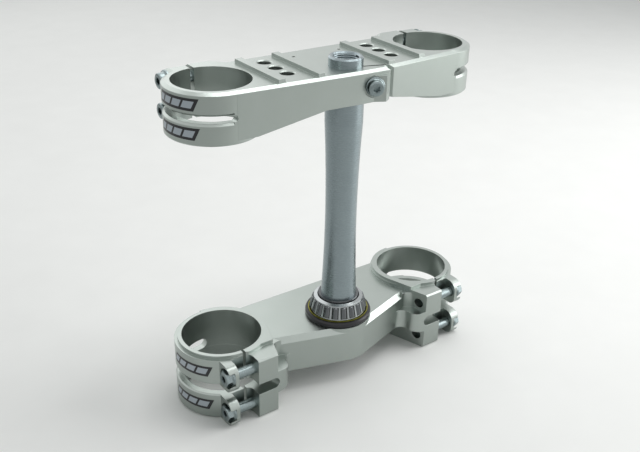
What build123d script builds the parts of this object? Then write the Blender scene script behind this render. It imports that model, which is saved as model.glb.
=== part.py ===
from build123d import *
import math
import os

# Motorcycle triple clamp: an upper and a lower fork clamp joined by a hollow steering stem,
# with the lower steering bearing and its dust seal in place on the stem.
# Frame: +Z up along the steering axis, +Y forward, +X to the rider's right.
# The origin is the middle of the stem's foot, flush with the underside of the lower arm.
# All sizes are in millimetres.

# Fork and steering layout
FORK_SPACING = 189.0
FORK_OFFSET = 20.5
CLAMP_REACH = 198.0
UPPER_BORE_R = 27.0
LOWER_BORE_R = 30.0
BORE_RELIEF = 0.1

# Lower clamp
LOWER_ARM_THICK = 30.0
LOWER_RIM_STEP = 5.0
LOWER_CLAMP_H = 54.0
LOWER_LIP_WALL = 3.0
LOWER_LIP_H = 2.5
LOWER_RING_WALL = 5.5
PLATFORM_WALL = 4.6
PLATFORM_REAR_Y = -10.5
LOWER_FRONT_Y = 47.6
LOWER_REAR_Y = -27.6
LOWER_REAR_SLOPE = 0.311
LOWER_ARM_CHAMFER = 4.0
LOWER_FOOT_CHAMFER = 1.0
BLOCK_REAR_Y = -25.7
BLOCK_INNER = 21.2
BLOCK_OUTER = 4.5
BLOCK_DROP = 2.7
BLOCK_CHAMFER = 1.2
WEB_REACH = 12.3
WEB_DROP = 18.5
WEB_SAG = 3.0
WEB_ROUND = 7.5
WEB_ROOT_ROUND = 6.8
SCALLOP_ROUND = 7.0
POCKET_DEPTH_Y = -12.8
POCKET_ROUND = 5.0
EAR_THICK = 7.5
LOWER_EAR_X = 19.0
LOWER_EAR_Y = -25.0
LOWER_EAR_ROUND = 8.0
LOWER_EAR_UNDERCUT = 6.5
LOWER_SLOT_H = 9.0
LOWER_SLOT_CHAMFER = 1.0
LOWER_SLOT_REAR = 22.5
LOWER_SLOT_FRONT = 2.5
LOWER_SLIT = 2.0
FENDER_HOLE_X = 50.0
FENDER_HOLE_Y = 22.0
FENDER_HOLE_REAR_Y = 12.0
FENDER_HOLE_R = 2.5
FENDER_HOLE_DEPTH = 14.0

# Upper clamp
UPPER_CLAMP_H = 35.5
UPPER_RING_WALL = 5.9
UPPER_REAR_Y = -19.4
UPPER_FRONT_Y = 50.1
UPPER_TOP_CHAMFER = 2.8
UPPER_TOP_DROP = 1.7
UPPER_FOOT_CHAMFER = 0.9
ARM_DEPTH_MID = 23.1
ARM_DEPTH_END = 32.6
ARM_FLAT_X = 28.0
ARM_SLOPE_X = 80.0
LUG_FRONT_Y = 59.5
LUG_INNER = 19.0
LUG_RUN = 8.5
LUG_OUTER = 16.5
LUG_ROUND = 5.5
UPPER_SLIT = 3.0
UPPER_SLOT_H = 5.0
UPPER_SLOT_CHAMFER = 1.5
UPPER_SLOT_START = 2.0
RIB_W = 5.5
RIB_H = 2.7
RIB_END = 5.6
RIB_LEAN = 0.4
BAR_PAD_W = 24.6
BAR_HOLE_X = 45.2
BAR_HOLE_R = 5.0
BAR_HOLE_Y = 5.1
BAR_HOLE_PITCH = 14.6
BAR_HOLE_COUNT = 3
BAR_HOLE_CHAMFER = 0.75
GAUGE_HOLE_X = 20.0
GAUGE_HOLE_Y = 35.5
GAUGE_HOLE_R = 1.25
GAUGE_HOLE_DEPTH = 10.0

# Stem pinch in the upper clamp, whose screw crosses the slit at an angle in plan
PINCH_TURN = 63.2
PINCH_OFFSET = 19.0
PINCH_SEAT = 12.7
PINCH_DEPTH = 11.8
PINCH_LUG_HALF = 8.5
PINCH_LUG_UP = 7.7
PINCH_LUG_DOWN = 11.3
PINCH_POCKET_R = 8.2
PINCH_LENGTH = 32.0
TONGUE_X = 24.5
TONGUE_Y = -20.2
SLIT_MOUTH = 5.3
STEM_SLIT = 2.2
SLIT_START_X = 9.0
SLIT_START_Y = -8.3
SLIT_BEND_Y = -13.0

# Steering stem
STEM_TOP_R = 12.5
STEM_PROUD = 7.0
STEM_SEAT_R = 14.0
STEM_SEAT_LENGTH = 18.0
STEM_WAIST_R = 12.0
STEM_WAIST_Z = 112.0
STEM_BORE_R = 8.5
STEM_THREAD_R = 9.19
STEM_THREAD_DEPTH = 30.0
STEM_EDGE = 1.0
STEM_FLANGE_W = 3.5
STEM_FLANGE_H = 4.0
STEM_FIT = 0.02
STEM_RELIEF = 0.5

# Tapered roller bearing on the lower seat; all its cones meet on the steering axis
BEARING_W = 16.0
BEARING_LIFT = 3.0
CUP_ANGLE = 16.0
ROLLER_HALF_ANGLE = 2.0
ROLLER_COUNT = 19
ROLLER_FOOT_REACH = 9.4
ROLLER_FOOT_Z = 3.0
ROLLER_LENGTH = 8.9
ROLLER_GAP = 0.12
ROLLER_END_ROUND = 0.35
CAGE_ANGLE = 15.2
CAGE_THICK = 0.9
CAGE_GAP = 0.25
CAGE_FOOT_Z = 1.0
CAGE_RIM_Z = 13.2
CAGE_LIP_REACH = 2.6
CAGE_LIP_RISE = 0.9
RIB_FOOT_WALL = 5.8
RIB_HEAD_WALL = 2.0
RIB_HEAD_H = 3.4

# Dust seal under the bearing
SEAL_REACH = 12.2
SEAL_LIP_W = 3.1
SEAL_LIP_H = 1.9
SEAL_EDGE = 1.5
SEAL_RING_W = 0.8
SEAL_RING_H = 0.5

# Flanged pinch screws
SCREW_R = 4.0
SCREW_HOLE_R = 4.5
SCREW_THREAD_GAP = 0.05
SCREW_FLANGE_R = 7.0
SCREW_FLANGE_H = 1.6
SCREW_HEX = 11.2
SCREW_HEAD_H = 6.5
SCREW_RECESS_R = 2.9
SCREW_RECESS_DEPTH = 3.5
UPPER_SCREW_REACH = 32.25
UPPER_SCREW_PITCH = 21.0
UPPER_SCREW_LENGTH = 32.0
UPPER_SEAT_R = 7.8
LOWER_SCREW_Y = -18.5
LOWER_SCREW_DROP = 12.5
LOWER_SCREW_PITCH = 31.2
LOWER_SCREW_LENGTH = 30.0
LOWER_SEAT_SINK = 4.5
LOWER_SEAT_R = 8.0

# Places worked out from the sizes above
FORK_X = FORK_SPACING / 2
LOWER_ARM_Z = LOWER_ARM_THICK
LOWER_RIM_Z = LOWER_ARM_Z + LOWER_RIM_STEP
LOWER_FOOT_Z = LOWER_RIM_Z - LOWER_CLAMP_H
LOWER_RING_Z = LOWER_RIM_Z - LOWER_LIP_H
UPPER_RIM_Z = LOWER_RIM_Z + CLAMP_REACH
UPPER_FOOT_Z = UPPER_RIM_Z - UPPER_CLAMP_H
UPPER_ARM_Z = UPPER_RIM_Z - ARM_DEPTH_MID
LOWER_RING_R = LOWER_BORE_R + LOWER_RING_WALL
UPPER_RING_R = UPPER_BORE_R + UPPER_RING_WALL
LOWER_SLOT_Z = LOWER_RIM_Z - LOWER_SCREW_DROP - LOWER_SCREW_PITCH / 2
UPPER_SLOT_Z = UPPER_RIM_Z - UPPER_CLAMP_H / 2
STEM_TOP_Z = UPPER_RIM_Z + STEM_PROUD
BEARING_Z = LOWER_ARM_Z + BEARING_LIFT
STEM_FLANGE_R = STEM_SEAT_R + STEM_FLANGE_W
ROLLER_FOOT_R = STEM_SEAT_R + ROLLER_FOOT_REACH
CAGE_LIP_R = STEM_SEAT_R + CAGE_LIP_REACH
RIB_FOOT_R = STEM_SEAT_R + RIB_FOOT_WALL
RIB_HEAD_R = STEM_SEAT_R + RIB_HEAD_WALL
SEAL_R = STEM_SEAT_R + SEAL_REACH
SEAL_LIP_R = SEAL_R - SEAL_LIP_W
APEX_Z = BEARING_Z + ROLLER_FOOT_Z + ROLLER_FOOT_R / math.tan(math.radians(CUP_ANGLE))
ROLLER_TILT = CUP_ANGLE - ROLLER_HALF_ANGLE
CONE_ANGLE = CUP_ANGLE - 2 * ROLLER_HALF_ANGLE
BOSS_R = -LOWER_REAR_Y * math.cos(math.atan(LOWER_REAR_SLOPE))
LOWER_EAR_FACE_X = FORK_X + LOWER_EAR_X
LOWER_SEAT_X = LOWER_EAR_FACE_X - LOWER_SEAT_SINK
UPPER_EAR_FACE_X = FORK_X + LUG_OUTER
BIG = 200.0


def prism(points, z0, z1):
    """A straight prism on a plan outline, from height z0 to z1."""
    return Pos(0, 0, z0) * extrude(Polygon(*points, align=None), amount=z1 - z0, dir=(0, 0, 1))


def disc(x, y, r, z0, z1):
    """An upright cylinder from height z0 to z1."""
    return Pos(x, y, z0) * Cylinder(r, z1 - z0, align=(Align.CENTER, Align.CENTER, Align.MIN))


def block(x0, x1, y0, y1, z0, z1):
    """A box between two corners."""
    return Pos(x0, y0, z0) * Box(x1 - x0, y1 - y0, z1 - z0, align=(Align.MIN, Align.MIN, Align.MIN))


def rod_x(x0, x1, y, z, r):
    """A cylinder along X."""
    return Plane((x0, y, z), x_dir=(0, 1, 0), z_dir=(1, 0, 0)) * disc(0, 0, r, 0, x1 - x0)


def pair(solid):
    """A solid and its mirror image on the other side of the steering axis."""
    return solid + mirror(solid, about=Plane.YZ)


def wall_tangent(reach_y, radius):
    """Where a straight wall from (0, reach_y) touches the fork ring from behind."""
    gap = math.hypot(FORK_X, FORK_OFFSET - reach_y)
    angle = math.atan2(FORK_OFFSET - reach_y, FORK_X) - math.asin(radius / gap)
    length = math.sqrt(gap ** 2 - radius ** 2)
    return length * math.cos(angle), reach_y + length * math.sin(angle)


def rear_wall_y(x):
    """How far back the lower arm's rear wall stands at a distance x from the middle."""
    return LOWER_REAR_Y + LOWER_REAR_SLOPE * x


def ring_blank(radius, foot, top, bevel):
    """The outer cylinder of one fork ring, bevelled round its foot."""
    ring = disc(FORK_X, FORK_OFFSET, radius, foot, top)
    return chamfer(ring.edges().sort_by(Axis.Z)[0], bevel)


def upper_arm():
    """The arm of the upper clamp, whose underside slopes down towards the forks."""
    touch_x, touch_y = wall_tangent(UPPER_REAR_Y, UPPER_RING_R)
    plan = [(-touch_x, touch_y), (0, UPPER_REAR_Y), (touch_x, touch_y),
            (FORK_X, FORK_OFFSET), (FORK_X, UPPER_FRONT_Y), (-FORK_X, UPPER_FRONT_Y),
            (-FORK_X, FORK_OFFSET)]
    tongue = [(0, UPPER_REAR_Y), (TONGUE_X, TONGUE_Y), (TONGUE_X, 0), (0, 0)]
    end_z = UPPER_RIM_Z - ARM_DEPTH_END
    side = [(-FORK_X, UPPER_RIM_Z), (-FORK_X, end_z), (-ARM_SLOPE_X, end_z), (-ARM_FLAT_X, UPPER_ARM_Z),
            (ARM_FLAT_X, UPPER_ARM_Z), (ARM_SLOPE_X, end_z), (FORK_X, end_z), (FORK_X, UPPER_RIM_Z)]
    solid = prism(plan, UPPER_FOOT_Z, UPPER_RIM_Z) + prism(tongue, UPPER_FOOT_Z, UPPER_RIM_Z)
    section = extrude(Plane.XZ * Polygon(*side, align=None), amount=BIG, both=True)
    return solid & section


def upper_lugs():
    """The front lug that carries one side's pinch screws, on both sides of the slit."""
    inner = FORK_X - LUG_INNER
    plan = [(inner - LUG_RUN, UPPER_FRONT_Y), (inner, LUG_FRONT_Y), (UPPER_EAR_FACE_X, LUG_FRONT_Y),
            (UPPER_EAR_FACE_X, FORK_OFFSET), (inner - LUG_RUN, FORK_OFFSET)]
    return prism(plan, UPPER_FOOT_Z, UPPER_RIM_Z)


def lug_end_rounds():
    """What rounds off the front corners of one outer ear, top and bottom."""
    y0 = LUG_FRONT_Y - LUG_ROUND
    cutter = None
    for z, sign in ((UPPER_RIM_Z, -1), (UPPER_FOOT_Z, 1)):
        corner = block(FORK_X, FORK_X + BIG, y0, y0 + BIG, *sorted((z + sign * LUG_ROUND, z - sign * BIG)))
        corner -= rod_x(FORK_X - 1, FORK_X + BIG, y0, z + sign * LUG_ROUND, LUG_ROUND)
        cutter = corner if cutter is None else cutter + corner
    return cutter


def slot_groove(radius, z, half_height, flare):
    """A ring of triangular section that breaks both edges of a slot in a round wall."""
    section = [(radius - flare, half_height), (radius + flare, half_height + 2 * flare),
               (radius + flare, -half_height - 2 * flare), (radius - flare, -half_height)]
    ring = revolve(Plane.XZ * Polygon(*section, align=None), axis=Axis.Z)
    return Pos(FORK_X, FORK_OFFSET, z) * ring


def bore_relief(radius, z, height):
    """The shallow relief round a fork bore level with its slot, which leaves two gripping bands."""
    return disc(FORK_X, FORK_OFFSET, radius + BORE_RELIEF, z - height / 2, z + height / 2)


def upper_slot():
    """The level slot that parts the outer half of one ring into two bands."""
    half = UPPER_SLOT_H / 2
    start = FORK_X + UPPER_SLOT_START
    slot = block(start, start + BIG, -BIG, BIG, UPPER_SLOT_Z - half, UPPER_SLOT_Z + half)
    end = Plane.XZ * (Pos(start, UPPER_SLOT_Z) * Circle(half))
    slot += extrude(end, amount=BIG, both=True)
    groove = slot_groove(UPPER_RING_R, UPPER_SLOT_Z, half, UPPER_SLOT_CHAMFER)
    return slot + (groove & block(start, start + BIG, -BIG, LUG_FRONT_Y - LUG_INNER / 2, -BIG, 2 * BIG))


def rib(x):
    """One raised rib along Y, with its rear end in line with the arm's top bevel."""
    touch_x, touch_y = wall_tangent(UPPER_REAR_Y, UPPER_RING_R)
    rear = UPPER_REAR_Y + (touch_y - UPPER_REAR_Y) * abs(x) / touch_x + UPPER_TOP_CHAMFER
    front = UPPER_FRONT_Y - RIB_END
    top = UPPER_RIM_Z + RIB_H
    side = [(rear, UPPER_RIM_Z), (rear + RIB_LEAN, top), (front - RIB_LEAN, top), (front, UPPER_RIM_Z)]
    return extrude(Plane((x, 0, 0), x_dir=(0, 1, 0), z_dir=(1, 0, 0)) * Polygon(*side, align=None),
                   amount=RIB_W / 2, both=True)


def drilled(x, y, r, top, bottom, bevel):
    """What drills a hole down from top, with a bevelled mouth."""
    mouth = Pos(x, y, top - bevel) * Cone(r, r + bevel, bevel, align=(Align.CENTER, Align.CENTER, Align.MIN))
    return disc(x, y, r, bottom, top) + mouth


def pinch_frame(depth):
    """The stem pinch screw's own frame: its origin on the screw's axis, +Z along the screw."""
    turn = math.radians(PINCH_TURN)
    along = (math.cos(turn), math.sin(turn), 0)
    across = (math.sin(turn), -math.cos(turn), 0)
    origin = (PINCH_OFFSET * across[0] + depth * along[0], PINCH_OFFSET * across[1] + depth * along[1],
              UPPER_RIM_Z - PINCH_DEPTH)
    return Plane(origin, x_dir=across, z_dir=along)


def pinch_lug():
    """The squared seat that stands out of the rear wall under the stem pinch screw's head."""
    frame = pinch_frame(-PINCH_SEAT)
    corner = frame.from_local_coords(Vector(PINCH_LUG_HALF, 0, 0))
    start = frame.from_local_coords(Vector(-PINCH_OFFSET, 0, 0))
    z = UPPER_RIM_Z - PINCH_DEPTH
    plan = [(start.X, start.Y), (corner.X, corner.Y), (TONGUE_X, TONGUE_Y), (TONGUE_X, UPPER_REAR_Y / 2),
            (start.X, UPPER_REAR_Y / 2)]
    front = block(-BIG, TONGUE_X, -BIG, UPPER_REAR_Y / 2, z - PINCH_LUG_DOWN, z + PINCH_LUG_UP)
    return prism(plan, z - PINCH_LUG_DOWN, z + PINCH_LUG_UP) & front


def pinch_pocket():
    """What sinks the screw's seat into the wall behind its head."""
    return pinch_frame(-PINCH_SEAT) * disc(0, 0, PINCH_POCKET_R, -BIG / 4, 0)


def stem_slit():
    """The slit from the stem bore to the rear wall, which opens into a bevelled mouth."""
    mouth_x = TONGUE_X + SLIT_MOUTH
    half = STEM_SLIT / 2
    path = [(SLIT_START_X, SLIT_START_Y + half), (TONGUE_X, SLIT_BEND_Y + half),
            (mouth_x, UPPER_REAR_Y + 2 * half), (mouth_x + half, UPPER_REAR_Y - SLIT_MOUTH),
            (TONGUE_X, TONGUE_Y - SLIT_MOUTH), (TONGUE_X, SLIT_BEND_Y - half),
            (SLIT_START_X, SLIT_START_Y - half)]
    return prism(path, UPPER_FOOT_Z, UPPER_RIM_Z + RIB_H)


def upper_screw_planes():
    """Where the upper clamp's pinch screws seat: heads outboard, shanks pointing inwards."""
    planes = []
    for side in (-1, 1):
        for step in (-0.5, 0.5):
            origin = (side * UPPER_EAR_FACE_X, FORK_OFFSET + UPPER_SCREW_REACH,
                      UPPER_SLOT_Z + step * UPPER_SCREW_PITCH)
            planes.append(Plane(origin, x_dir=(0, 1, 0), z_dir=(-side, 0, 0)))
    return planes


def lower_screw_planes():
    """Where the lower clamp's pinch screws seat, sunk into the outer ears."""
    planes = []
    for side in (-1, 1):
        for step in (0, 1):
            origin = (side * LOWER_SEAT_X, LOWER_SCREW_Y,
                      LOWER_RIM_Z - LOWER_SCREW_DROP - step * LOWER_SCREW_PITCH)
            planes.append(Plane(origin, x_dir=(0, 1, 0), z_dir=(-side, 0, 0)))
    return planes


def screw_seats(planes, radius):
    """Round sinks for screw heads, outwards from their seats."""
    cut = None
    for plane in planes:
        sink = plane * disc(0, 0, radius, -2 * SCREW_HEAD_H, 0)
        cut = sink if cut is None else cut + sink
    return cut


def screw_bores(planes, clear_length, length):
    """Clearance holes for screws as far as clear_length, then tapped holes to length."""
    cut = None
    for plane in planes:
        hole = disc(0, 0, SCREW_HOLE_R, 0, clear_length)
        hole += disc(0, 0, SCREW_R + SCREW_THREAD_GAP, 0, length)
        cut = plane * hole if cut is None else cut + plane * hole
    return cut


def screw(length):
    """One flanged hexagon screw, its seat at z = 0 and its head below."""
    head = extrude(RegularPolygon(SCREW_HEX / 2, 6, major_radius=False), amount=SCREW_HEAD_H)
    dome = Pos(0, 0, SCREW_FLANGE_H) * Cone(
        SCREW_FLANGE_R - 0.5, SCREW_HEX / 2, 1.0, align=(Align.CENTER, Align.CENTER, Align.MIN))
    head += disc(0, 0, SCREW_FLANGE_R, 0, SCREW_FLANGE_H) + dome
    crown = Cone(SCREW_FLANGE_R + SCREW_HEAD_H, SCREW_HEX / 2 - 0.2, SCREW_HEAD_H + 0.01,
                 align=(Align.CENTER, Align.CENTER, Align.MIN))
    head &= crown
    head -= disc(0, 0, SCREW_RECESS_R, SCREW_HEAD_H - SCREW_RECESS_DEPTH, SCREW_HEAD_H + 1)
    shank = disc(0, 0, SCREW_R, 0, length)
    shank = chamfer(shank.faces().sort_by(Axis.Z)[-1].edges(), SCREW_R / 5)
    return mirror(head, about=Plane.XY) + shank


def screws(planes, length):
    """A set of like screws, as separate solids."""
    one = screw(length)
    return Compound(children=[plane * one for plane in planes])


def upper_clamp():
    """The upper fork clamp, machined from one billet."""
    body = upper_arm()
    ring = ring_blank(UPPER_RING_R, UPPER_FOOT_Z, UPPER_RIM_Z, UPPER_FOOT_CHAMFER)
    body += pair(ring + upper_lugs())
    top = body.faces().filter_by(Axis.Z).sort_by(Axis.Z)[-1]
    body = chamfer(top.outer_wire().edges(), UPPER_TOP_CHAMFER, UPPER_TOP_DROP, reference=top)
    for side in (-1, 1):
        for step in (-1, 1):
            body += rib(side * (BAR_HOLE_X + step * (BAR_PAD_W + RIB_W) / 2))
    body += pinch_lug()
    cuts = disc(FORK_X, FORK_OFFSET, UPPER_BORE_R, UPPER_FOOT_Z - 1, UPPER_RIM_Z + 1)
    cuts += block(FORK_X - UPPER_SLIT / 2, FORK_X + UPPER_SLIT / 2, FORK_OFFSET, BIG,
                  UPPER_FOOT_Z - 1, UPPER_RIM_Z + 1)
    cuts += upper_slot() + bore_relief(UPPER_BORE_R, UPPER_SLOT_Z, UPPER_SLOT_H)
    cuts += lug_end_rounds() & block(FORK_X, BIG, 0, BIG, 0, 2 * BIG)
    for row in range(BAR_HOLE_COUNT):
        cuts += drilled(BAR_HOLE_X, BAR_HOLE_Y + row * BAR_HOLE_PITCH, BAR_HOLE_R,
                        UPPER_RIM_Z, UPPER_FOOT_Z, BAR_HOLE_CHAMFER)
    cuts += disc(GAUGE_HOLE_X, GAUGE_HOLE_Y, GAUGE_HOLE_R, UPPER_RIM_Z - GAUGE_HOLE_DEPTH, UPPER_RIM_Z)
    body -= pair(cuts)
    body -= screw_seats(upper_screw_planes(), UPPER_SEAT_R)
    body -= screw_bores(upper_screw_planes(), LUG_OUTER, UPPER_SCREW_LENGTH + 2)
    body -= pinch_pocket()
    body -= screw_bores([pinch_frame(-PINCH_SEAT)], PINCH_SEAT, PINCH_LENGTH + 2)
    body -= disc(0, 0, STEM_TOP_R + STEM_FIT, UPPER_FOOT_Z, UPPER_RIM_Z + 1)
    body -= disc(0, 0, STEM_SEAT_R + STEM_RELIEF, UPPER_FOOT_Z, UPPER_ARM_Z)
    body -= stem_slit()
    return body


def lower_plan():
    """The outline of the lower arm, with its rear corner rounded about the steering axis."""
    end_y = rear_wall_y(FORK_X)
    outline = Polygon((-FORK_X, end_y), (0, LOWER_REAR_Y), (FORK_X, end_y), (FORK_X, LOWER_FRONT_Y),
                      (-FORK_X, LOWER_FRONT_Y), align=None)
    corner = outline.vertices().sort_by(Axis.Y)[0]
    return fillet(corner, BOSS_R)


def lower_arm():
    """The lower arm, bevelled along its rear top edges on both sides of the stem's round boss."""
    arm = extrude(lower_plan(), amount=LOWER_ARM_THICK)
    rear = arm.edges().filter_by_position(Axis.Z, LOWER_ARM_Z - 0.01, LOWER_ARM_Z + 0.01)
    rear = [edge for edge in rear if edge.center().Y < 0 and abs(edge.center().X) < FORK_X - 1]
    return chamfer(rear, LOWER_ARM_CHAMFER) + disc(0, 0, BOSS_R, 0, LOWER_ARM_Z)


def pinch_block():
    """One rear pinch block; its inboard side runs straight on to the ring, below the platform's."""
    inner = FORK_X - BLOCK_INNER
    plan = [(inner, BLOCK_REAR_Y), (FORK_X - BLOCK_OUTER, BLOCK_REAR_Y), (FORK_X, FORK_OFFSET),
            platform_touch()]
    solid = prism(plan, LOWER_FOOT_Z, LOWER_RIM_Z - BLOCK_DROP)
    rear = solid.faces().sort_by(Axis.Y)[0]
    solid = chamfer(rear.edges().sort_by(Axis.Z)[-1], BLOCK_CHAMFER)
    rear = solid.faces().filter_by(Axis.Y).sort_by(Axis.Y)[0]
    return chamfer(rear.edges().sort_by(Axis.Z)[0], LOWER_FOOT_CHAMFER)


def platform_corner():
    """Where the platform's inboard side meets its rear edge."""
    radius = LOWER_BORE_R + PLATFORM_WALL
    inner = FORK_X - BLOCK_INNER
    gap = math.hypot(FORK_X - inner, FORK_OFFSET - BLOCK_REAR_Y)
    angle = math.atan2(FORK_OFFSET - BLOCK_REAR_Y, FORK_X - inner) + math.asin(radius / gap)
    return inner + (PLATFORM_REAR_Y - BLOCK_REAR_Y) / math.tan(angle), PLATFORM_REAR_Y


def platform_touch():
    """Where the platform's inboard side meets its round edge."""
    radius = LOWER_BORE_R + PLATFORM_WALL
    corner_x, corner_y = platform_corner()
    angle = math.atan2(FORK_OFFSET - corner_y, FORK_X - corner_x)
    angle += math.asin(radius / math.hypot(FORK_X - corner_x, FORK_OFFSET - corner_y))
    length = math.sqrt((FORK_X - corner_x) ** 2 + (FORK_OFFSET - corner_y) ** 2 - radius ** 2)
    return corner_x + length * math.cos(angle), corner_y + length * math.sin(angle)


def platform():
    """The raised land round the inner half of one lower fork bore."""
    radius = LOWER_BORE_R + PLATFORM_WALL
    plan = [platform_corner(), platform_touch(), (FORK_X, FORK_OFFSET), (FORK_X, PLATFORM_REAR_Y)]
    inner_disc = disc(FORK_X, FORK_OFFSET, radius, 0, LOWER_RIM_Z)
    inner_disc &= block(-BIG, FORK_X, -BIG, BIG, -BIG, BIG)
    return prism(plan, 0, LOWER_RIM_Z) + inner_disc


def web():
    """The stop pad between the arm and one pinch block, below the screw holes' way out."""
    inner = FORK_X - BLOCK_INNER
    outer = inner - WEB_REACH
    top = LOWER_RIM_Z - WEB_DROP
    start = outer - 2 * WEB_ROOT_ROUND
    plan = [(start, 0), (start, rear_wall_y(start)), (outer, rear_wall_y(outer)), (outer, BLOCK_REAR_Y),
            (inner + 1, BLOCK_REAR_Y), (inner + 1, 0)]
    solid = prism(plan, -WEB_SAG, top)
    upright = solid.edges().filter_by(Axis.Z)
    solid = fillet(upright.sort_by_distance((outer, BLOCK_REAR_Y, 0))[0], WEB_ROUND)
    upright = solid.edges().filter_by(Axis.Z)
    solid = fillet(upright.sort_by_distance((outer, rear_wall_y(outer), 0))[0], WEB_ROOT_ROUND)
    side = [(start - 1, 0), (outer, 0), (inner + 1, -WEB_SAG), (BIG, -WEB_SAG), (BIG, top), (start - 1, top)]
    return solid & extrude(Plane.XZ * Polygon(*side, align=None), amount=BIG, both=True)


def scallop():
    """The rounded inner corner between the arm's rear wall and one platform's side."""
    corner_x, corner_y = platform_corner()
    inner = FORK_X - BLOCK_INNER
    lean = (inner - corner_x) / (BLOCK_REAR_Y - corner_y)
    root_x = (corner_x + lean * (LOWER_REAR_Y - corner_y)) / (1 - lean * LOWER_REAR_SLOPE)
    root_y = rear_wall_y(root_x)
    start = root_x - SCALLOP_ROUND
    foot_y = root_y - 2 * SCALLOP_ROUND
    plan = [(start, rear_wall_y(start)), (root_x, root_y), (corner_x + lean * (foot_y - corner_y), foot_y),
            (inner, foot_y), (inner, 0), (root_x, 0)]
    solid = prism(plan, 0, LOWER_ARM_Z)
    return fillet(solid.edges().filter_by(Axis.Z).sort_by_distance((root_x, root_y, 0))[0], SCALLOP_ROUND)


def lower_ear():
    """One plate behind the slit that takes both screw heads on its outer face."""
    inner = LOWER_EAR_FACE_X - EAR_THICK
    return block(inner, LOWER_EAR_FACE_X, LOWER_EAR_Y, FORK_OFFSET, LOWER_FOOT_Z, LOWER_RING_Z)


def ear_rounds():
    """What rounds the rear ends of the two halves of one lower ear."""
    half = LOWER_SLOT_H / 2
    cutter = None
    spans = ((LOWER_RING_Z, LOWER_EAR_ROUND, -1), (LOWER_SLOT_Z + half, LOWER_EAR_UNDERCUT, 1),
             (LOWER_SLOT_Z - half, LOWER_EAR_ROUND, -1), (LOWER_FOOT_Z, LOWER_EAR_UNDERCUT, 1))
    for z, radius, sign in spans:
        y0 = LOWER_EAR_Y + radius
        z_mid = z + sign * radius
        corner = block(FORK_X + BLOCK_OUTER, BIG, LOWER_EAR_Y - 1, y0, *sorted((z - sign, z_mid)))
        corner -= rod_x(FORK_X, BIG, y0, z_mid, radius)
        cutter = corner if cutter is None else cutter + corner
    return cutter


def pinch_space():
    """The open pocket between one block and its ear, with rounded inner corners."""
    x0, x1 = FORK_X - BLOCK_OUTER, LOWER_EAR_FACE_X - EAR_THICK
    space = block(x0, x1, -BIG, POCKET_DEPTH_Y, LOWER_FOOT_Z - 1, LOWER_RIM_Z + 1)
    corner = space.edges().filter_by(Axis.Z).sort_by_distance((x0, POCKET_DEPTH_Y, 0))[0]
    return fillet(corner, POCKET_ROUND)


def lower_slot():
    """The level slot through one pinch block, ear and outer half ring."""
    half = LOWER_SLOT_H / 2
    rear_x = FORK_X - LOWER_SLOT_REAR
    front_x = FORK_X - LOWER_SLOT_FRONT
    z0, z1 = LOWER_SLOT_Z - half, LOWER_SLOT_Z + half
    rear = block(rear_x + half, BIG, -BIG, FORK_OFFSET, z0, z1)
    rear += extrude(Plane.XZ * (Pos(rear_x + half, LOWER_SLOT_Z) * Circle(half)), amount=BIG)
    front = block(front_x + half, BIG, FORK_OFFSET, BIG, z0, z1)
    tip = Plane((0, FORK_OFFSET, 0), x_dir=(1, 0, 0), z_dir=(0, 1, 0))
    front += extrude(tip * (Pos(front_x + half, -LOWER_SLOT_Z) * Circle(half)), amount=BIG)
    groove = slot_groove(LOWER_RING_R, LOWER_SLOT_Z, half, LOWER_SLOT_CHAMFER)
    groove &= block(LOWER_EAR_FACE_X, BIG, -BIG, BIG, -BIG, BIG)
    return rear + front + groove


def fender_holes():
    """The tapped holes under the arm that a front mudguard is screwed to."""
    cut = None
    for x in (-FENDER_HOLE_X / 2, FENDER_HOLE_X / 2):
        for y in (FENDER_HOLE_REAR_Y, FENDER_HOLE_REAR_Y + FENDER_HOLE_Y):
            hole = disc(x, y, FENDER_HOLE_R, -1, FENDER_HOLE_DEPTH)
            cut = hole if cut is None else cut + hole
    return cut


def lower_clamp():
    """The lower fork clamp, machined from one billet."""
    side = ring_blank(LOWER_RING_R, LOWER_FOOT_Z, LOWER_RING_Z, LOWER_FOOT_CHAMFER)
    side += disc(FORK_X, FORK_OFFSET, LOWER_BORE_R + LOWER_LIP_WALL, LOWER_RING_Z, LOWER_RIM_Z)
    side += pinch_block() + platform() + web() + scallop() + lower_ear()
    body = lower_arm() + pair(side)
    cuts = disc(FORK_X, FORK_OFFSET, LOWER_BORE_R, LOWER_FOOT_Z - 1, LOWER_RIM_Z + 1)
    cuts += block(FORK_X - LOWER_SLIT / 2, FORK_X + LOWER_SLIT / 2, -BIG, FORK_OFFSET,
                  LOWER_FOOT_Z - 1, LOWER_RIM_Z + 1)
    cuts += pinch_space() + lower_slot() + ear_rounds()
    cuts += bore_relief(LOWER_BORE_R, LOWER_SLOT_Z, LOWER_SLOT_H)
    body -= pair(cuts)
    body -= screw_seats(lower_screw_planes(), LOWER_SEAT_R)
    body -= screw_bores(lower_screw_planes(), LOWER_EAR_X, BIG / 4)
    body -= disc(0, 0, STEM_SEAT_R, -1, LOWER_ARM_Z + 1)
    body -= disc(0, 0, STEM_FLANGE_R + STEM_FIT, -1, STEM_FLANGE_H)
    return body - fender_holes()


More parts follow.
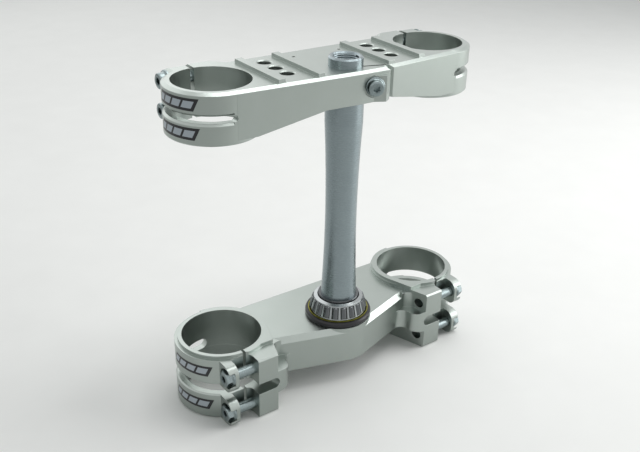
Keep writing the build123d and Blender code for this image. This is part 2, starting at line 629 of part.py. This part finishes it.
def steering_stem():
    """The hollow waisted stem, flanged at its foot and tapped at its head."""
    seat_top = BEARING_Z + BEARING_W
    upper_seat = UPPER_ARM_Z - STEM_SEAT_LENGTH
    outline = Polyline((STEM_BORE_R, 0), (STEM_FLANGE_R, 0), (STEM_FLANGE_R, STEM_FLANGE_H),
                       (STEM_SEAT_R, STEM_FLANGE_H), (STEM_SEAT_R, seat_top))
    waist = Spline((STEM_SEAT_R, seat_top), (STEM_WAIST_R, STEM_WAIST_Z), (STEM_SEAT_R, upper_seat))
    head = Polyline((STEM_SEAT_R, upper_seat), (STEM_SEAT_R, UPPER_ARM_Z), (STEM_TOP_R, UPPER_ARM_Z),
                    (STEM_TOP_R, STEM_TOP_Z - STEM_EDGE), (STEM_TOP_R - STEM_EDGE, STEM_TOP_Z),
                    (STEM_THREAD_R + STEM_EDGE, STEM_TOP_Z), (STEM_THREAD_R, STEM_TOP_Z - STEM_EDGE),
                    (STEM_THREAD_R, STEM_TOP_Z - STEM_THREAD_DEPTH), (STEM_BORE_R, STEM_TOP_Z - STEM_THREAD_DEPTH),
                    (STEM_BORE_R, 0))
    section = make_face(outline.edges() + waist.edges() + head.edges())
    return revolve(Plane.XZ * section, axis=Axis.Z)


def cone_r(angle, z):
    """The radius at height z of a cone of the bearing, whose tip is at the common apex."""
    return (APEX_Z - z) * math.tan(math.radians(angle))


def bearing_inner_ring():
    """The inner ring: a tapered raceway between a tall foot rib and a small head rib."""
    foot = BEARING_Z + ROLLER_FOOT_Z - ROLLER_GAP
    head = BEARING_Z + BEARING_W - RIB_HEAD_H
    lean = (RIB_FOOT_R - cone_r(CONE_ANGLE, foot)) * math.tan(math.radians(ROLLER_TILT))
    section = [(STEM_SEAT_R, BEARING_Z), (RIB_FOOT_R, BEARING_Z), (RIB_FOOT_R, foot - lean / 2),
               (cone_r(CONE_ANGLE, foot), foot - lean), (cone_r(CONE_ANGLE, head), head),
               (RIB_HEAD_R, head), (RIB_HEAD_R, BEARING_Z + BEARING_W), (STEM_SEAT_R, BEARING_Z + BEARING_W)]
    ring = revolve(Plane.XZ * Polygon(*section, align=None), axis=Axis.Z)
    return ring


def roller_blank(swell):
    """A tapered roller on its leaning axis at azimuth 0, swollen or shrunk all round."""
    tilt = math.radians(ROLLER_TILT)
    reach = (APEX_Z - BEARING_Z - ROLLER_FOOT_Z) / math.cos(tilt)
    taper = math.tan(math.radians(ROLLER_HALF_ANGLE))
    foot_r = reach * taper + swell
    head_r = (reach - ROLLER_LENGTH) * taper + swell
    lean = Plane((0, 0, APEX_Z), x_dir=(math.cos(tilt), 0, math.sin(tilt)),
                 z_dir=(math.sin(tilt), 0, -math.cos(tilt)))
    end = max(swell, 0)
    blank = Cone(head_r, foot_r, ROLLER_LENGTH + 2 * end, align=(Align.CENTER, Align.CENTER, Align.MIN))
    return lean, Pos(0, 0, reach - ROLLER_LENGTH - end) * blank


def roller(index):
    """One tapered roller of the row, its end corners broken."""
    lean, blank = roller_blank(-ROLLER_GAP)
    blank = chamfer(blank.edges().filter_by(GeomType.CIRCLE), ROLLER_END_ROUND)
    return Rot(0, 0, index * 360 / ROLLER_COUNT) * (lean * blank)


def bearing_cage():
    """The pressed cage: a tapered shell with one window for each roller and a turned-in flange."""
    foot, rim = BEARING_Z + CAGE_FOOT_Z, BEARING_Z + CAGE_RIM_Z
    foot_r, rim_r = cone_r(CAGE_ANGLE, foot), cone_r(CAGE_ANGLE, rim)
    lip = rim + CAGE_LIP_RISE
    section = [(foot_r, foot), (rim_r, rim), (CAGE_LIP_R, lip), (CAGE_LIP_R, lip - CAGE_THICK),
               (rim_r - CAGE_THICK, rim - CAGE_THICK), (foot_r - CAGE_THICK, foot)]
    cage = revolve(Plane.XZ * Polygon(*section, align=None), axis=Axis.Z)
    lean, blank = roller_blank(CAGE_GAP)
    for index in range(ROLLER_COUNT):
        cage -= Rot(0, 0, index * 360 / ROLLER_COUNT) * (lean * blank)
    return cage


def dust_seal():
    """The rubber seal under the bearing, with an upstanding lip round the rollers' ends."""
    top = BEARING_Z + SEAL_LIP_H
    section = [(STEM_SEAT_R, LOWER_ARM_Z), (SEAL_R - SEAL_EDGE / 2, LOWER_ARM_Z), (SEAL_R, LOWER_ARM_Z + SEAL_EDGE),
               (SEAL_R, top - SEAL_EDGE), (SEAL_R - SEAL_EDGE / 2, top), (SEAL_LIP_R, top),
               (SEAL_LIP_R, BEARING_Z), (STEM_SEAT_R, BEARING_Z)]
    return revolve(Plane.XZ * Polygon(*section, align=None), axis=Axis.Z)


def seal_ring():
    """The thin plated ring seated on the seal's lip."""
    foot = BEARING_Z + SEAL_LIP_H
    ring = disc(0, 0, SEAL_LIP_R + SEAL_RING_W, foot, foot + SEAL_RING_H)
    return ring - disc(0, 0, SEAL_LIP_R, foot, foot + SEAL_RING_H)


def build_parts():
    """Every sub-part by its node's name."""
    parts = {
        "upper_clamp": upper_clamp(),
        "lower_clamp": lower_clamp(),
        "steering_stem": steering_stem(),
        "bearing_inner_ring": bearing_inner_ring(),
        "bearing_cage": bearing_cage(),
        "dust_seal": dust_seal(),
        "seal_ring": seal_ring(),
        "upper_fork_screws": screws(upper_screw_planes(), UPPER_SCREW_LENGTH),
        "lower_fork_screws": screws(lower_screw_planes(), LOWER_SCREW_LENGTH),
        "stem_pinch_screw": pinch_frame(-PINCH_SEAT) * screw(PINCH_LENGTH),
    }
    for index in range(ROLLER_COUNT):
        parts[f"bearing_roller_{index + 1:02d}"] = roller(index)
    return parts


os.makedirs("parts", exist_ok=True)
for name, solid in build_parts().items():
    export_step(solid, f"parts/{name}.step")
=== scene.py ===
import math

import bmesh
import bpy
from mathutils import Matrix, Vector


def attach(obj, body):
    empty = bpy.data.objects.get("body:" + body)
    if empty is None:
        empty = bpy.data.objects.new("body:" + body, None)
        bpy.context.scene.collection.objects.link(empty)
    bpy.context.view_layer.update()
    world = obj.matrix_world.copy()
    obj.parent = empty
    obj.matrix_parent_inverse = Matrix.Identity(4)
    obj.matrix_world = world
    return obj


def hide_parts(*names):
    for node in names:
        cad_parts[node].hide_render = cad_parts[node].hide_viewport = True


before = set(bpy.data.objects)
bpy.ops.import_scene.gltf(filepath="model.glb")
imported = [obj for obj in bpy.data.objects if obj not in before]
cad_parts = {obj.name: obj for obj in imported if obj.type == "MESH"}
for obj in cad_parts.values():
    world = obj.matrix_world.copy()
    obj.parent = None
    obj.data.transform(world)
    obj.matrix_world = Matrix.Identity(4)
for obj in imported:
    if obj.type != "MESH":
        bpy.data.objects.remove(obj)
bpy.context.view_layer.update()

# The looks of a motorcycle triple clamp: satin clamps, a turned stem, an open roller bearing.
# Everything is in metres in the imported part's frame: +Z up along the steering axis, +Y forward.
MM = 0.001
PHOTO_WIDTH = 640
SENSOR_MM = 36.0
FOOT_Z = -19.0 * MM
FLOOR_GAP = 0.2 * MM
FLOOR_HALF = 6.0
MERGE_GAP = 0.001 * MM
LAMP_AIM = (0, 0, 0.1)

# Camera, measured from the photograph
CAMERA_AT = (-359.865, -473.157, 408.329)
CAMERA_AZIMUTH = -38.53
CAMERA_ELEVATION = 27.25
CAMERA_ROLL = 2.42
FOCAL_PIXELS = 871.13
CENTRE_SHIFT = (37.478, 6.108)

# Sizes of the part that the added pieces follow, in millimetres
FORK_X = 94.5
FORK_Y = 20.5
UPPER_RING_R = 32.9
LOWER_RING_R = 35.5
STEM_TOP_Z = 240.0
THREAD_R = 9.19
THREAD_PITCH = 1.5
THREAD_DEPTH = 0.55
THREAD_LENGTH = 27.0
THREAD_START = 1.0
THREAD_SINK = 0.02
THREAD_HALF_SHARE = 0.45
THREAD_STEPS = 36
RECESS_R = 2.9
RECESS_DEPTH = 3.5
HEAD_H = 6.5
HEAD_R = 5.6
FLANGE_R = 7.0
FLANGE_H = 1.6
SHANK_R = 4.0
SHANK_LENGTH = 32.0
UPPER_SEAT_X = 111.0
UPPER_SCREW_Y = 52.75
UPPER_SCREW_Z = (204.75, 225.75)
LOWER_SEAT_X = 109.0
LOWER_SCREW_Y = -18.5
LOWER_SCREW_Z = (22.5, -8.7)
PINCH_TURN = 63.2
PINCH_OFFSET = 19.0
PINCH_SEAT = 12.7
PINCH_Z = 221.2

# Edges of the round screws' profile, in millimetres, and the corners of a full turn
CROWN_W = 1.1
CROWN_H = 1.2
CROWN_KNEE_W = 0.3
CROWN_KNEE_H = 0.4
NECK_W = 0.4
NECK_H = 0.7
NECK_KNEE_H = 0.2
FLANGE_EDGE = 0.4
SHANK_EDGE = 0.8
ROUND_STEPS = 48

# Six-lobed sockets: the lobes' middle and swing are shares of the recess's radius
LOBES = 6
LOBE_MIDDLE = 0.83
LOBE_SWING = 0.13
LOBE_DEPTH = 2.9
LOBE_SINK = 0.3

# Badges: middle angle, ring radius, middle height, size along and up, in degrees and millimetres
BADGE_ROWS = ((194.0, UPPER_RING_R, 225.2, 34.0, 8.4), (194.0, UPPER_RING_R, 205.6, 34.0, 8.4),
              (197.0, LOWER_RING_R, 22.6, 36.5, 8.8), (197.0, LOWER_RING_R, -7.2, 36.5, 8.8))
BADGE_LEAN = 4.0
BADGE_LIFT = 0.02
BADGE_BARS = ((0.04, 0.18), (0.23, 0.41), (0.46, 0.66), (0.71, 0.93))
BADGE_BAR_TALL = 0.56
BADGE_COLUMNS = 48
BADGE_LINES = 8
SHARP_EDGE = math.radians(32)
QUARTER_TURN = 0.25


def linear(hex_colour):
    """An sRGB hex colour as linear RGBA."""
    out = []
    for start in (1, 3, 5):
        value = int(hex_colour[start:start + 2], 16) / 255
        out.append(value / 12.92 if value <= 0.04045 else ((value + 0.055) / 1.055) ** 2.4)
    return (*out, 1.0)


def add(tree, kind, sockets=None, **settings):
    """Adds a node: settings are its own attributes, sockets are values or links by input name."""
    new = tree.nodes.new(kind)
    for name, value in settings.items():
        setattr(new, name, value)
    for name, value in (sockets or {}).items():
        if isinstance(value, bpy.types.NodeSocket):
            tree.links.new(value, new.inputs[name])
        else:
            new.inputs[name].default_value = value
    return new


def blank(name):
    """A new material with only an output node."""
    made = bpy.data.materials.new(name)
    made.use_nodes = True
    made.node_tree.nodes.clear()
    return made, made.node_tree, add(made.node_tree, "ShaderNodeOutputMaterial")


def surface(name, colour, other, roughness, metallic, grain_mm, depth_mm, stretch=(1, 1, 1), patch_mm=25.0,
            edge_mm=0.0, rough_swing=0.05, brushed=0.0):
    """A surface of two near tones in soft patches, with a fine grain of a given size and depth.

    A brushed surface has turning marks round the Z axis, which draw its reflections out along that axis.
    """
    made, tree, out = blank(name)
    place = add(tree, "ShaderNodeTexCoord").outputs["Object"]
    patches = add(tree, "ShaderNodeTexNoise", {"Vector": place, "Scale": 1 / (patch_mm * MM), "Detail": 3.0})
    tone = add(tree, "ShaderNodeMix", {0: patches.outputs["Fac"]}, data_type="RGBA")
    tone.inputs[6].default_value = linear(colour)
    tone.inputs[7].default_value = linear(other)
    drawn = add(tree, "ShaderNodeMapping", {"Vector": place, "Scale": stretch})
    grain = add(tree, "ShaderNodeTexNoise", {"Vector": drawn.outputs["Vector"], "Scale": 1 / (grain_mm * MM),
                                             "Detail": 4.0, "Roughness": 0.6})
    rough = add(tree, "ShaderNodeMapRange", {"Value": grain.outputs["Fac"], "From Min": 0.3, "From Max": 0.7,
                                             "To Min": roughness - rough_swing,
                                             "To Max": roughness + rough_swing})
    bump_in = {"Height": grain.outputs["Fac"], "Distance": depth_mm * MM, "Strength": 1.0}
    if edge_mm:
        bevel = add(tree, "ShaderNodeBevel", {"Radius": edge_mm * MM}, samples=4)
        bump_in["Normal"] = bevel.outputs["Normal"]
    bump = add(tree, "ShaderNodeBump", bump_in)
    shader = add(tree, "ShaderNodeBsdfPrincipled", {"Base Color": tone.outputs[2], "Metallic": metallic,
                                                    "Roughness": rough.outputs["Result"],
                                                    "Normal": bump.outputs["Normal"]})
    if brushed:
        round_axis = add(tree, "ShaderNodeTangent", direction_type="RADIAL", axis="Z").outputs["Tangent"]
        tree.links.new(round_axis, shader.inputs["Tangent"])
        shader.inputs["Anisotropic"].default_value = brushed
        shader.inputs["Anisotropic Rotation"].default_value = QUARTER_TURN
    tree.links.new(shader.outputs["BSDF"], out.inputs["Surface"])
    return made


def paper(name, colour, other, fibre_mm):
    """Matt white paper with a faint cloudiness."""
    made, tree, out = blank(name)
    place = add(tree, "ShaderNodeTexCoord").outputs["Object"]
    fibres = add(tree, "ShaderNodeTexNoise", {"Vector": place, "Scale": 1 / (fibre_mm * MM), "Detail": 2.0})
    tone = add(tree, "ShaderNodeMix", {0: fibres.outputs["Fac"]}, data_type="RGBA")
    tone.inputs[6].default_value = linear(colour)
    tone.inputs[7].default_value = linear(other)
    matt = add(tree, "ShaderNodeBsdfDiffuse", {"Color": tone.outputs[2]})
    tree.links.new(matt.outputs["BSDF"], out.inputs["Surface"])
    return made


def dress(obj, made):
    """Gives an object one material."""
    obj.data.materials.clear()
    obj.data.materials.append(made)


def finish_piece(name, bm, made, smooth=True, body="clamp_frame"):
    """Turns a bmesh into a piece that rides on a body, smooth apart from its sharp edges."""
    bmesh.ops.remove_doubles(bm, verts=bm.verts, dist=MERGE_GAP)
    bmesh.ops.recalc_face_normals(bm, faces=bm.faces)
    for edge in bm.edges:
        edge.smooth = len(edge.link_faces) == 2 and edge.calc_face_angle() < SHARP_EDGE
    data = bpy.data.meshes.new(name)
    bm.to_mesh(data)
    bm.free()
    for polygon in data.polygons:
        polygon.use_smooth = smooth
    piece = bpy.data.objects.new(name, data)
    bpy.context.scene.collection.objects.link(piece)
    dress(piece, made)
    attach(piece, body)
    return piece


def stem_thread(made):
    """The thread in the stem's head: one triangular ridge that winds down the bore."""
    bm = bmesh.new()
    half = THREAD_PITCH * THREAD_HALF_SHARE
    top = STEM_TOP_Z - THREAD_START - half
    root = THREAD_R + THREAD_SINK
    ridge = [bm.verts.new(Vector((r, 0, z)) * MM) for r, z in
             ((root, top + half), (THREAD_R - THREAD_DEPTH, top), (root, top - half))]
    edges = [bm.edges.new(ridge[:2]), bm.edges.new(ridge[1:])]
    turns = round(THREAD_LENGTH / THREAD_PITCH)
    bmesh.ops.spin(bm, geom=ridge + edges, cent=(0, 0, 0), axis=(0, 0, 1), angle=math.tau * turns,
                   dvec=(0, 0, -THREAD_PITCH * MM / THREAD_STEPS), steps=THREAD_STEPS * turns,
                   use_merge=False)
    return finish_piece("stem_thread", bm, made, smooth=False)


def head_places(seat_x, y, heights):
    """The middle of each fork screw head's face and the direction into it, in millimetres."""
    return [(Vector((side * (seat_x + HEAD_H), y, z)), Vector((-side, 0, 0)))
            for side in (-1, 1) for z in heights]


def pinch_place():
    """The same for the stem's pinch screw."""
    turn = math.radians(PINCH_TURN)
    along = Vector((math.cos(turn), math.sin(turn), 0))
    across = Vector((math.sin(turn), -math.cos(turn), 0))
    return PINCH_OFFSET * across - (PINCH_SEAT + HEAD_H) * along + Vector((0, 0, PINCH_Z)), along


def facing(centre, into):
    """Places what is modelled with its face at the origin and its depth along +Z."""
    turn = Vector((0, 0, 1)).rotation_difference(into).to_matrix().to_4x4()
    return Matrix.Translation(centre * MM) @ turn


def round_screws(name, places, node, made):
    """Round flanged screws, each turned from one profile, which stand for a CAD node."""
    deep = HEAD_H + SHANK_LENGTH
    foot = HEAD_H - FLANGE_H
    socket = [(0, RECESS_DEPTH), (RECESS_R, RECESS_DEPTH), (RECESS_R, 0)]
    crown = [(HEAD_R - CROWN_W, 0), (HEAD_R - CROWN_KNEE_W, CROWN_KNEE_H), (HEAD_R, CROWN_H)]
    neck = [(HEAD_R, foot - NECK_H), (HEAD_R + NECK_W, foot - NECK_KNEE_H)]
    flange = [(FLANGE_R - FLANGE_EDGE, foot), (FLANGE_R, foot + FLANGE_EDGE), (FLANGE_R, HEAD_H)]
    shank = [(SHANK_R, HEAD_H), (SHANK_R, deep - SHANK_EDGE), (SHANK_R - SHANK_EDGE, deep), (0, deep)]
    profile = socket + crown + neck + flange + shank
    bm = bmesh.new()
    for centre, into in places:
        start = len(bm.verts)
        line = [bm.verts.new(Vector((r, 0, z)) * MM) for r, z in profile]
        edges = [bm.edges.new(ends) for ends in zip(line, line[1:])]
        bmesh.ops.spin(bm, geom=line + edges, cent=(0, 0, 0), axis=(0, 0, 1), angle=math.tau,
                       steps=ROUND_STEPS, use_merge=True)
        bm.verts.ensure_lookup_table()
        bmesh.ops.transform(bm, matrix=facing(centre, into), verts=bm.verts[start:])
    piece = finish_piece(name, bm, made)
    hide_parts(node)


def screw_recesses(places, made):
    """The six-lobed drive sockets inside the screw heads' round recesses."""
    bm = bmesh.new()
    for centre, into in places:
        rim = bmesh.ops.create_circle(bm, segments=ROUND_STEPS, radius=RECESS_R * MM)["verts"]
        star = bmesh.ops.create_circle(bm, segments=ROUND_STEPS, radius=RECESS_R * MM)["verts"]
        for corner in star:
            angle = math.atan2(corner.co.y, corner.co.x)
            corner.co *= LOBE_MIDDLE + LOBE_SWING * math.cos(LOBES * angle)
        edges = [e for v in rim + star for e in v.link_edges]
        bmesh.ops.bridge_loops(bm, edges=list(set(edges)))
        loop = list({e for v in star for e in v.link_edges if e.other_vert(v) in star})
        down = bmesh.ops.extrude_edge_only(bm, edges=loop)["geom"]
        low = [v for v in down if isinstance(v, bmesh.types.BMVert)]
        bmesh.ops.translate(bm, verts=low, vec=(0, 0, LOBE_DEPTH * MM))
        bmesh.ops.transform(bm, matrix=facing(centre + LOBE_SINK * into, into),
                            verts=list(set(rim + star + low)))
    return finish_piece("screw_recesses", bm, made, smooth=False)


def ring_patch(bm, row, side, across, tall, lift):
    """A slanted patch on a fork ring's round wall, between shares of its badge's length and height."""
    middle, radius, height, length, badge_tall = row
    start = len(bm.verts)
    bmesh.ops.create_grid(bm, x_segments=BADGE_COLUMNS, y_segments=BADGE_LINES, size=0.5)
    bm.verts.ensure_lookup_table()
    for corner in bm.verts[start:]:
        u = (across[0] + (corner.co.x + 0.5) * (across[1] - across[0]) - 0.5) * length
        v = corner.co.y * tall * badge_tall
        angle = math.radians(middle) + (u + v / badge_tall * BADGE_LEAN) / radius
        reach = radius + lift
        across_x = FORK_X - reach * math.cos(angle)
        corner.co = Vector((side * across_x, FORK_Y + reach * math.sin(angle), height + v)) * MM


def badges(film, ink):
    """Plain dark labels with pale slanted bars on the fork rings' outer walls."""
    for name, made, lift in (("badge_film", film, BADGE_LIFT), ("badge_bars", ink, 2 * BADGE_LIFT)):
        bm = bmesh.new()
        for row in BADGE_ROWS:
            for side in (-1, 1):
                if made is film:
                    ring_patch(bm, row, side, (0, 1), 1, lift)
                else:
                    for across in BADGE_BARS:
                        ring_patch(bm, row, side, across, BADGE_BAR_TALL, lift)
        finish_piece(name, bm, made)


def add_lamp(name, at, aim, size, power):
    """A soft square lamp that faces a point."""
    data = bpy.data.lights.new(name, "AREA")
    data.size = size
    data.energy = power
    lamp = bpy.data.objects.new(name, data)
    lamp.location = at
    lamp.rotation_euler = (Vector(aim) - Vector(at)).to_track_quat("-Z", "Y").to_euler()
    bpy.context.scene.collection.objects.link(lamp)


def add_camera():
    """The camera at the photograph's place, with its picture centre shifted as the photograph's is."""
    azimuth, elevation, roll = (math.radians(a) for a in (CAMERA_AZIMUTH, CAMERA_ELEVATION, CAMERA_ROLL))
    back = Vector((math.sin(azimuth) * math.cos(elevation), -math.cos(azimuth) * math.cos(elevation),
                   math.sin(elevation)))
    right = (-back).cross(Vector((0, 0, 1))).normalized()
    up = right.cross(-back)
    x_axis = math.cos(roll) * right + math.sin(roll) * up
    y_axis = -math.sin(roll) * right + math.cos(roll) * up
    data = bpy.data.cameras.new("camera")
    data.sensor_width = SENSOR_MM
    data.lens = FOCAL_PIXELS / PHOTO_WIDTH * SENSOR_MM
    data.shift_x = -CENTRE_SHIFT[0] / PHOTO_WIDTH
    data.shift_y = CENTRE_SHIFT[1] / PHOTO_WIDTH
    camera = bpy.data.objects.new("camera", data)
    turn = Matrix((x_axis, y_axis, back)).transposed().to_4x4()
    camera.matrix_world = Matrix.Translation(Vector(CAMERA_AT) * MM) @ turn
    bpy.context.scene.collection.objects.link(camera)
    bpy.context.scene.camera = camera


def add_floor():
    """A wide pale floor under the clamps' feet."""
    bm = bmesh.new()
    bmesh.ops.create_grid(bm, x_segments=1, y_segments=1, size=FLOOR_HALF)
    bmesh.ops.translate(bm, verts=bm.verts, vec=(0, 0, FOOT_Z - FLOOR_GAP))
    data = bpy.data.meshes.new("floor")
    bm.to_mesh(data)
    bm.free()
    floor = bpy.data.objects.new("floor", data)
    bpy.context.scene.collection.objects.link(floor)
    dress(floor, paper("white_paper", "#f3f3f1", "#eeeeec", 40.0))


def set_world(grey, strength):
    """A plain world: white to the camera, mirrors and glass, pale grey as light."""
    world = bpy.data.worlds.new("studio")
    bpy.context.scene.world = world
    world.use_nodes = True
    tree = world.node_tree
    tree.nodes.clear()
    out = add(tree, "ShaderNodeOutputWorld")
    rays = add(tree, "ShaderNodeLightPath")
    soft = add(tree, "ShaderNodeBackground", {"Color": linear(grey), "Strength": strength})
    white = add(tree, "ShaderNodeBackground", {"Color": (1, 1, 1, 1), "Strength": 1.0})
    seen = add(tree, "ShaderNodeMath", {0: rays.outputs["Is Camera Ray"], 1: rays.outputs["Is Glossy Ray"]},
               operation="MAXIMUM")
    shown = add(tree, "ShaderNodeMath", {0: seen.outputs[0], 1: rays.outputs["Is Transmission Ray"]},
                operation="MAXIMUM")
    both = add(tree, "ShaderNodeMixShader", {0: shown.outputs[0], 1: soft.outputs[0], 2: white.outputs[0]})
    tree.links.new(both.outputs[0], out.inputs["Surface"])


# Satin anodised billet aluminium: a faint bead-blasted grain and broad soft highlights
satin = surface("satin_anodised_aluminium", "#a9b0ac", "#a1a9a4", 0.32, 1.0, 0.35, 0.012, edge_mm=0.35)
# Turned and polished steel: fine marks round the stem draw its reflections out along it
turned = surface("turned_polished_steel", "#8f9a9d", "#848f93", 0.27, 1.0, 0.5, 0.02, stretch=(0.03, 0.03, 1),
                 patch_mm=14.0, rough_swing=0.05, brushed=0.8)
# Ground bearing steel: bright with a hair of dark oil
ground = surface("ground_bearing_steel", "#6f7274", "#5f6264", 0.18, 1.0, 0.4, 0.004, patch_mm=6.0)
# Pressed sheet steel: bright and a little wavy
pressed = surface("pressed_bright_steel", "#a9adae", "#989d9e", 0.24, 1.0, 1.2, 0.02, patch_mm=6.0,
                  edge_mm=0.2)
# Nitrile rubber: smooth and near black
rubber = surface("nitrile_rubber", "#0e0e14", "#131319", 0.34, 0.0, 0.5, 0.01)
# Yellow zinc plating on steel
plated = surface("yellow_zinc_plated_steel", "#8c8a34", "#7f7c28", 0.4, 0.7, 0.5, 0.005, patch_mm=8.0)
# Zinc-nickel plated steel: grey and slightly matt
zinc = surface("zinc_nickel_plated_steel", "#8d9899", "#828e8f", 0.28, 1.0, 0.4, 0.008, patch_mm=4.0,
               edge_mm=0.2)

# Printed vinyl film: black with a soft sheen, and pale ink on it
film = surface("black_vinyl_film", "#16171a", "#1b1c20", 0.35, 0.0, 0.6, 0.002)
ink = surface("pale_printed_ink", "#b4bcc4", "#acb5bd", 0.4, 0.0, 0.6, 0.002)

FINISHES = {"upper_clamp": satin, "lower_clamp": satin, "steering_stem": turned, "bearing_inner_ring": ground,
            "bearing_cage": pressed, "dust_seal": rubber, "seal_ring": plated, "upper_fork_screws": zinc,
            "lower_fork_screws": zinc, "stem_pinch_screw": zinc}
for node_name, node_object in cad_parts.items():
    dress(node_object, FINISHES.get(node_name, ground))

upper_heads = head_places(UPPER_SEAT_X, UPPER_SCREW_Y, UPPER_SCREW_Z)
lower_heads = head_places(LOWER_SEAT_X, LOWER_SCREW_Y, LOWER_SCREW_Z)
stem_thread(turned)
round_screws("upper_screws", upper_heads, "upper_fork_screws", zinc)
round_screws("pinch_screw", [pinch_place()], "stem_pinch_screw", zinc)
screw_recesses(upper_heads + lower_heads + [pinch_place()], zinc)
badges(film, ink)

add_floor()
set_world("#c8cccc", 0.62)
add_lamp("overhead", (0.35, 0.05, 1.2), LAMP_AIM, 0.9, 6.5)
add_lamp("back_softbox", (0.0, 1.2, 0.9), LAMP_AIM, 1.4, 4.5)
add_lamp("right_softbox", (1.2, -0.55, 0.55), LAMP_AIM, 1.1, 12.0)
add_camera()
bpy.context.scene.view_settings.view_transform = "Standard"
